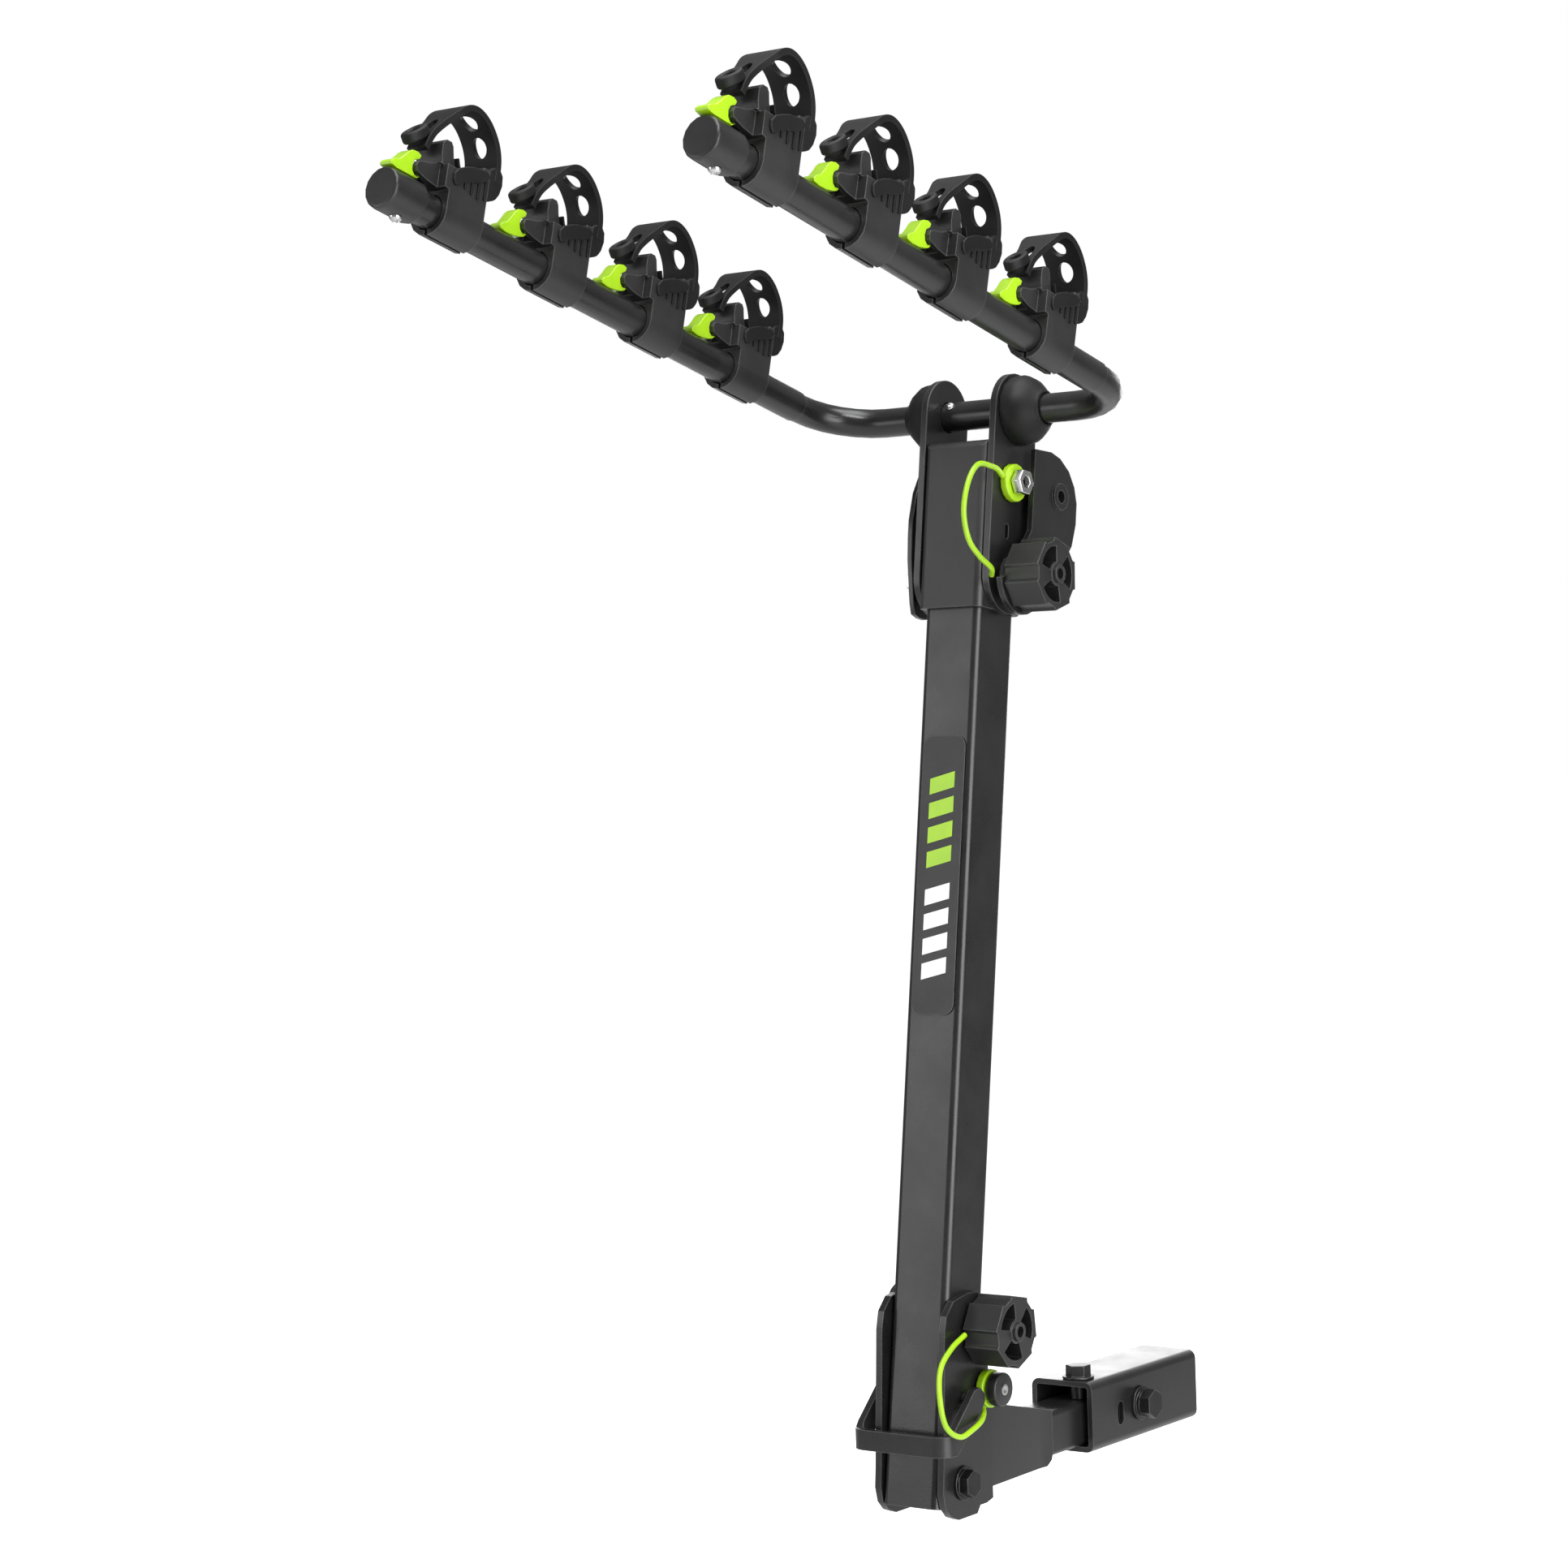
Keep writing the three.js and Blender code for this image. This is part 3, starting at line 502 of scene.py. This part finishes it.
# %% Strap: centre line, width and holes
STRAP_LINE = [(-25.3, 34), (-25.6, 42), (-24.6, 50), (-21.6, 57.4), (-17, 63.6), (-11, 68.9), (-4, 72.2),
              (3, 72.8), (9.5, 70.4), (15, 65.6), (20, 59.8), (25, 54), (29.6, 47.6), (33, 41), (35, 35)]
HALF_WIDTHS = [(14, 14), (22, 10.5), (30, 8), (60, 8)]
HOLES = [(24.5, 7.3, 5.6), (43.5, 7.3, 5.6), (86, 7.4, 4.2)]
STRAP_ROWS = 60
STRAP_THICK = 4.2


def half_width_at(t):
    """Half the strap's width at a place along the arm, from the root to the tab."""
    if t < HALF_WIDTHS[0][0]:
        return HALF_WIDTHS[0][1]
    for (t0, w0), (t1, w1) in zip(HALF_WIDTHS, HALF_WIDTHS[1:]):
        if t < t1:
            return w0 + (w1 - w0) * (t - t0) / (t1 - t0)
    return HALF_WIDTHS[-1][1]


def hole_reach(co, hole):
    """How far out a point lies from the hole's middle, where 1 is the oval rim."""
    middle, half_long, half_wide = hole
    return math.hypot(co.x / half_wide, (co.y - middle) / half_long)


print("strap holes", len(HOLES))

# %% [markdown]
# A boolean cut leaves long thin triangles round a hole, and they crease when the strap is bent. Here
# the grid's own faces inside each oval are deleted, and the corners left on the rim slide onto it.

# %% Strap: the flat band
def cut_hole(band, hole):
    inside = [f for f in band.faces if hole_reach(f.calc_center_median(), hole) < 0.98]
    rim = {v for f in inside for v in f.verts if not all(g in inside for g in v.link_faces)}
    bmesh.ops.delete(band, geom=inside, context="FACES")
    for v in (v for v in rim if v.is_valid):
        k = hole_reach(v.co, hole)
        v.co = Vector((v.co.x / k, hole[0] + (v.co.y - hole[0]) / k, 0))


def flat_band(route, length):
    band = bmesh.new()
    bmesh.ops.create_grid(band, x_segments=14, y_segments=STRAP_ROWS, size=1)
    for v in band.verts:
        along = (v.co.y + 1) / 2
        v.co = Vector((v.co.x * half_width_at(-route[round(along * STRAP_ROWS)].y), along * length, 0))
    for hole in HOLES:
        cut_hole(band, hole)
    bmesh.ops.solidify(band, geom=band.faces[:], thickness=STRAP_THICK)
    bmesh.ops.recalc_face_normals(band, faces=band.faces)
    height = [v.co.z for v in band.verts]
    bmesh.ops.translate(band, verts=band.verts, vec=(0, 0, -(min(height) + max(height)) / 2))
    bevel_sharp(band, 1.2, 3, above=60)
    return band


print("strap thickness mm", STRAP_THICK)

# %% [markdown]
# Bending comes last. Each point of the flat band goes to its place along the centre line, and its
# height is laid off square to the line. A Curve modifier would do the same, but it needs a curve
# object in the scene, and here the line is only a list of points.

# %% Strap: bend, root and tab
ROOT = [(-17.9, 21), (-17.9, 40.6), (-22.5, 43.6), (-27.6, 44.6), (-31.5, 40.5), (-32.3, 34),
        (-30.6, 27.6), (-27.4, 22.8), (-23, 20.6)]


def bend(band, route, length):
    for v in band.verts:
        at = max(0.0, min(STRAP_ROWS, v.co.y / length * STRAP_ROWS))
        i = min(int(at), STRAP_ROWS - 1)
        here = route[i].lerp(route[i + 1], at - i)
        before = (route[i + 1] - route[max(i - 1, 0)]).normalized()
        after = (route[min(i + 2, STRAP_ROWS)] - route[i]).normalized()
        along = before.lerp(after, at - i).normalized()
        square = along.cross(Vector((1, 0, 0))).normalized()
        v.co = here + Vector((v.co.x, 0, 0)) + square * v.co.z


def pull_tab():
    tab = bmesh.new()
    bmesh.ops.create_circle(tab, radius=1, segments=28)
    bmesh.ops.scale(tab, verts=tab.verts, vec=(3.6, 3.4, 1))
    out = bmesh.ops.extrude_edge_only(tab, edges=tab.edges[:])["geom"]
    bmesh.ops.scale(tab, verts=moved_verts(out), vec=(2.1, 3.25, 1))
    bmesh.ops.recalc_face_normals(tab, faces=tab.faces)
    bmesh.ops.solidify(tab, geom=tab.faces[:], thickness=7)
    bmesh.ops.recalc_face_normals(tab, faces=tab.faces)
    bevel_sharp(tab, 1.7, 3)
    slope = Matrix.Rotation(math.radians(42), 4, "X")
    tab.transform(Matrix.Translation((0, -39, 43.6)) @ slope @ Matrix.Translation((0, 0, -3.5)))
    return tab


def strap():
    route, length = smooth_route([(0, -t, h) for t, h in STRAP_LINE], STRAP_ROWS)
    band = flat_band(route, length)
    bend(band, route, length)
    return joined(band, rounded_prism(ROOT, -13.6, 13.6, 1.8), pull_tab())


for side in CRADLES:
    for k in range(1, 5):
        weigh_normals(make_piece(f"rubber_strap_{side}_{k}", strap(), cradle_frame(side, k), RUBBER,
                                 "carrier", (f"strap_{side}_{k}",), weld=False))
print("straps made")

# %% [markdown]
# Each latch is a small lime hook: its open jaw clips over a pin at the cradle's nose, and a thumb tail
# sticks out over the arm. The outermost pair rests on the end caps, so it sits a little higher.

# %% Latch levers
HOOK = [(45.4, 29.8), (40.5, 31.1), (36.9, 30.3), (37.6, 27.4), (41.4, 24.6), (42.3, 21), (41.2, 17.6),
        (38.6, 15.8), (36, 16.4), (34.5, 18.2), (34.2, 16.6), (36.6, 14.2), (40.7, 12.6), (47.2, 11.2),
        (54, 10.9), (59.6, 11.8), (60.4, 13.6), (58.4, 16.2), (54, 18.4), (50.6, 23), (48.2, 27)]
NOSE_PIN = Matrix.Translation((0, -38, 21))
ABOVE_END_CAP = 14.4
OUTER_LIFT = 9


def latch(lift):
    hook = rounded_prism(HOOK, -5, 5, 1.1)
    pin = bmesh.new()
    bmesh.ops.create_cone(pin, cap_ends=True, segments=20, radius1=2.4, radius2=2.4, depth=12.6)
    pin.transform(NOSE_PIN @ Matrix.Rotation(math.radians(90), 4, "Y"))
    if lift:
        hook.transform(NOSE_PIN @ Matrix.Rotation(-math.radians(lift), 4, "X") @ NOSE_PIN.inverted())
        for v in hook.verts:
            v.co.z = max(v.co.z, ABOVE_END_CAP)
    return hook, pin


for side in CRADLES:
    for k in range(1, 5):
        hook, pin = latch(OUTER_LIFT if k == 1 else 0)
        node = f"buckle_lever_{side}_{k}"
        place = cradle_frame(side, k)
        weigh_normals(make_piece("latch_" + node, hook, place, LIME, node + "_body", (node,), weld=False))
        make_piece(f"nose_pin_{side}_{k}", pin, place, PLASTIC, "carrier")
print("latches made")

# %% [markdown]
# A hand knob is a thick-walled moulding. Its rim steps between flat raised grips and hollows, and the
# front is cored out into three deep pockets round a hub. Spinning a half profile gives a polar mesh,
# so a ring of faces can be picked by angle for the pockets and pushed in.

# %% Hand knobs
KNOB_R, KNOB_DEPTH = 24.5, 27.4
GRIP_TURN, GRIPS_AT = 360 / 5, 42
POCKET_TURN, POCKETS_AT = 360 / 3, 71


def turned_blank():
    """The knob's half profile, spun about X."""
    bm = bmesh.new()
    front, boss, floor_at = KNOB_DEPTH, KNOB_DEPTH + 3.2, KNOB_DEPTH - 6
    half = [(0, 3.2), (0, KNOB_R), (front, KNOB_R), (front, 21.2), (front, 19.4), (front, 8.2), (front, 6.7),
            (boss, 6.3), (boss, 3.9), (floor_at, 3.9), (floor_at, 0.4)]
    line = [bm.verts.new((x, r, 0)) for x, r in half]
    chain = [bm.edges.new(pair) for pair in zip(line, line[1:])]
    bmesh.ops.spin(bm, geom=line + chain, cent=(0, 0, 0), axis=(1, 0, 0), dvec=(0, 0, 0),
                   angle=math.tau, steps=90, use_merge=True)
    bmesh.ops.remove_doubles(bm, verts=bm.verts, dist=1e-3)
    bmesh.ops.holes_fill(bm, edges=[e for e in bm.edges if e.is_boundary], sides=0)
    bmesh.ops.recalc_face_normals(bm, faces=bm.faces)
    return bm


def shape_rim(bm):
    """Turns the round rim into five wide flat grips with narrower flats between them."""
    half_turn = GRIP_TURN / 2
    for v in bm.verts:
        if math.hypot(v.co.y, v.co.z) > 20.5:
            angle = (math.degrees(math.atan2(v.co.z, v.co.y)) - GRIPS_AT) % GRIP_TURN - half_turn
            if abs(angle) < 22.5:
                grip = 23.6 / math.cos(math.radians(angle))
            else:
                grip = 22.9 / math.cos(math.radians(half_turn - abs(angle)))
            v.co.yz = v.co.yz * (grip / KNOB_R)


def push_pockets(bm):
    """Pushes three sectors of the front face in, round the hub."""
    pockets = []
    for face in bm.faces:
        mid = face.calc_center_median()
        angle = (math.degrees(math.atan2(mid.z, mid.y)) - POCKETS_AT) % POCKET_TURN - POCKET_TURN / 2
        if mid.x > KNOB_DEPTH - 0.1 and 9 < math.hypot(mid.y, mid.z) < 19 and abs(angle) < 36:
            pockets.append(face)
    out = bmesh.ops.extrude_face_region(bm, geom=pockets)["geom"]
    bmesh.ops.delete(bm, geom=pockets, context="FACES_ONLY")
    bmesh.ops.translate(bm, verts=moved_verts(out), vec=(-22, 0, 0))


def knob(flat_back):
    bm = turned_blank()
    shape_rim(bm)
    push_pockets(bm)
    bmesh.ops.recalc_face_normals(bm, faces=bm.faces)
    bevel_sharp(bm, 0.8, 3, above=20)
    bm.transform(Matrix.Translation((flat_back, 0, 0)))
    return bm


lower_screw = SLEEVE_END @ Matrix.Translation((0, -146.5, 88))
upper_screw = MAST @ Matrix.Translation((0, 0, HINGE_S))
weigh_normals(make_piece("lower_hand_knob", knob(31.3), lower_screw, PLASTIC,
                         "lower_clamp_knob", ("mast_clamp_knob",), weld=False))
weigh_normals(make_piece("upper_hand_knob", knob(43.2), upper_screw, PLASTIC,
                         "upper_hinge_knob", ("arm_hinge_knob",), weld=False))
print("knobs made")

# %% [markdown]
# The lock pins end in small heads. The lower one has a black cap held by a little screw with a hollow
# head, the upper one a plated hexagon nut round a dark core. Both are short cylinders, and the nut is
# one with only six sides. A hollow is made by an inset and an extrusion inwards.

# %% Pin heads
def disc(radius, x0, x1, segments=40, bevel=0.5, hollow=0.0):
    bm = bmesh.new()
    bmesh.ops.create_cone(bm, cap_ends=True, segments=segments, radius1=radius, radius2=radius, depth=x1 - x0)
    bm.transform(Matrix.Translation(((x0 + x1) / 2, 0, 0)) @ Matrix.Rotation(math.radians(90), 4, "Y"))
    bm.normal_update()
    if hollow:
        front = [f for f in bm.faces if f.normal.x > 0.9 and len(f.verts) == segments]
        bmesh.ops.inset_region(bm, faces=front, thickness=radius - hollow, depth=0)
        out = bmesh.ops.extrude_face_region(bm, geom=front)["geom"]
        bmesh.ops.delete(bm, geom=front, context="FACES_ONLY")
        bmesh.ops.translate(bm, verts=moved_verts(out), vec=(x0 - x1 + 1, 0, 0))
    bmesh.ops.recalc_face_normals(bm, faces=bm.faces)
    bevel_sharp(bm, bevel, 3)
    return bm


LOWER_PIN = SLEEVE_END @ Matrix.Translation((0, -143.7, 47))
UPPER_PIN = MAST @ Matrix.Translation((0, -4.5, 686))
make_piece("lower_pin_cap", disc(11.6, 37.2, 44.9, bevel=1.2), LOWER_PIN, PLASTIC, "lower_lock_pin")
make_piece("lower_pin_screw", disc(3.8, 44.6, 45.7, bevel=0.4, hollow=1.6), LOWER_PIN, ZINC,
           "lower_lock_pin")
make_piece("upper_pin_nut", disc(9.4, 38.2, 45.6, segments=6, bevel=0.8, hollow=4.6), UPPER_PIN, ZINC,
           "upper_lock_pin", ("arm_lock_pin",))
make_piece("upper_pin_core", disc(4.2, 30.2, 43.4, bevel=0.6, hollow=1.8), UPPER_PIN, BLACKED,
           "upper_lock_pin")
print("pin heads made")

# %% [markdown]
# Domed plated screws hold the end caps from below, and a rivet shows on the carrier bar between the ears.
# Half a sphere, flattened, makes the head, and two thin bars across it stand for the driver's cross.

# %% Small screws and the rivet
def screw_head(name, place, radius, tall):
    bm = bmesh.new()
    bmesh.ops.create_uvsphere(bm, u_segments=28, v_segments=16, radius=radius)
    bmesh.ops.bisect_plane(bm, geom=bm.verts[:] + bm.edges[:] + bm.faces[:], plane_co=(0, 0, 0),
                           plane_no=(0, 0, 1), clear_inner=True)
    bmesh.ops.holes_fill(bm, edges=[e for e in bm.edges if e.is_boundary], sides=0)
    bmesh.ops.scale(bm, verts=bm.verts, vec=(1, 1, tall / radius))
    for turn in (0, 90):
        cut = bmesh.new()
        bmesh.ops.create_cube(cut, size=1)
        cut.transform(Matrix.Rotation(math.radians(turn), 4, "Z") @ Matrix.Translation((0, 0, tall - 0.15))
                      @ Matrix.Diagonal((radius * 1.1, 0.7, 0.5, 1)))
        joined(bm, cut)
    make_piece(name, bm, place, ZINC, "carrier", weld=False)


for side, way in (("left", -1), ("right", 1)):
    under = ARM @ Matrix.Translation((way * ARM_X, -474, -13.6)) @ Matrix.Rotation(math.radians(180), 4, "X")
    screw_head(f"end_cap_screw_{side}", under, radius=4.2, tall=3)
rivet_at = ARM @ Matrix.Rotation(math.radians(62), 4, "X") @ Matrix.Translation((-20, 0, 10.1))
screw_head("carrier_bar_rivet", rivet_at, radius=3.4, tall=2.2)
print("small hardware made")

# %% [markdown]
# The decal on the mast carries a row of slanted bars in white and lime. They could be a pattern in
# the plate's material, but each is a very thin sheared slab instead, so that its edges stay sharp.

# %% Decal bars
WHITE = finish_of("white_print", grey(0.72), grey(0.8), grey(0.85), (0.35, 0.45), 1500, 0.05, 0.1)


BAR_STEP, BAR_TALL = 17, 11


def bars(first, last, name, finish):
    parts = []
    s = first
    while s < last:
        slab = bmesh.new()
        bmesh.ops.create_cube(slab, size=1)
        for v in slab.verts:
            v.co = Vector((v.co.x * 20, v.co.y * 0.2, v.co.z * BAR_TALL + v.co.x * 5))
        slab.transform(Matrix.Translation((0, -24.05, s)))
        parts.append(slab)
        s += BAR_STEP
    make_piece(name, joined(*parts), MAST, finish, "mast", weld=False)


bars(347, 410, "white_bars", WHITE)
bars(424, 484, "lime_bars", LIME)
print("decal made")

# %% [markdown]
# The set is a plain pale floor that runs out into a white room, so no horizon shows. The rack is held
# up by the hitch, so it floats above. Black goods show only what they reflect: the room's own light
# is kept low, and large soft lamps draw the long highlights down the mast and the tubes.

# %% Floor and room
FLOOR_Z = -0.45
floor = bmesh.new()
bmesh.ops.create_circle(floor, cap_ends=True, segments=96, radius=40)
bmesh.ops.translate(floor, verts=floor.verts, vec=(0, 0, FLOOR_Z))
floor_mesh = bpy.data.meshes.new("studio_floor")
floor.to_mesh(floor_mesh)
studio_floor = bpy.data.objects.new("studio_floor", floor_mesh)
bpy.context.scene.collection.objects.link(studio_floor)
paper = bpy.data.materials.new("pale_paper")
paper.use_nodes = True
sheet = paper.node_tree
lit = sheet.nodes["Principled BSDF"]
lit.inputs["Base Color"].default_value = (0.82, 0.82, 0.82, 1)
lit.inputs["Roughness"].default_value = 0.9
seen = sheet.nodes.new("ShaderNodeLightPath")
glow = sheet.nodes.new("ShaderNodeMath")
glow.operation = "MULTIPLY"
glow.inputs[1].default_value = 0.85
lit.inputs["Emission Color"].default_value = (1, 1, 1, 1)
sheet.links.new(seen.outputs["Is Camera Ray"], glow.inputs[0])
sheet.links.new(glow.outputs["Value"], lit.inputs["Emission Strength"])
floor_mesh.materials.append(paper)

room = bpy.data.worlds.new("bright_room")
room.use_nodes = True
air = room.node_tree
sight = air.nodes.new("ShaderNodeLightPath")
level = air.nodes.new("ShaderNodeMapRange")
level.inputs["To Min"].default_value = 0.3
level.inputs["To Max"].default_value = 1.0
air.links.new(sight.outputs["Is Camera Ray"], level.inputs["Value"])
air.links.new(level.outputs["Result"], air.nodes["Background"].inputs["Strength"])
air.nodes["Background"].inputs["Color"].default_value = (1, 1, 1, 1)
bpy.context.scene.world = room
bpy.context.scene.view_settings.view_transform = "Standard"
print("floor at", FLOOR_Z)

# %% [markdown]
# Each lamp has one job. The top box lights the tubes and the straps from above, the front box lifts the
# mast's front face, and the corner box is reflected only by the mast's rounded corner and the plates'
# edges. The back wall shines along the top of the adapter, which is seen almost edge on.

# %% Lamps
def soft_lamp(name, place, aim, size, power):
    lamp = bpy.data.lights.new(name, "AREA")
    lamp.shape = "RECTANGLE"
    lamp.size, lamp.size_y = size
    lamp.energy = power
    holder = bpy.data.objects.new(name, lamp)
    holder.location = place
    holder.rotation_euler = (Vector(aim) - Vector(place)).to_track_quat("-Z", "Y").to_euler()
    holder.visible_camera = False
    bpy.context.scene.collection.objects.link(holder)


soft_lamp("top_softbox", (0.2, -0.2, 2.4), (0, -0.2, 0.4), (1.4, 1.4), 34)
soft_lamp("front_softbox", (-1.7, -2.5, 0.9), (0, -0.2, 0.5), (1.0, 1.8), 16)
soft_lamp("corner_softbox", (2.4, -0.95, 0.7), (0, -0.2, 0.5), (1.9, 2.2), 80)
soft_lamp("high_strip", (0.6, -1.3, 2.4), (0, -0.3, 0.8), (1.6, 0.3), 34)
soft_lamp("back_wall", (-1.3, 2.9, 0.9), (0, -0.2, 0.4), (3.2, 1.4), 48)
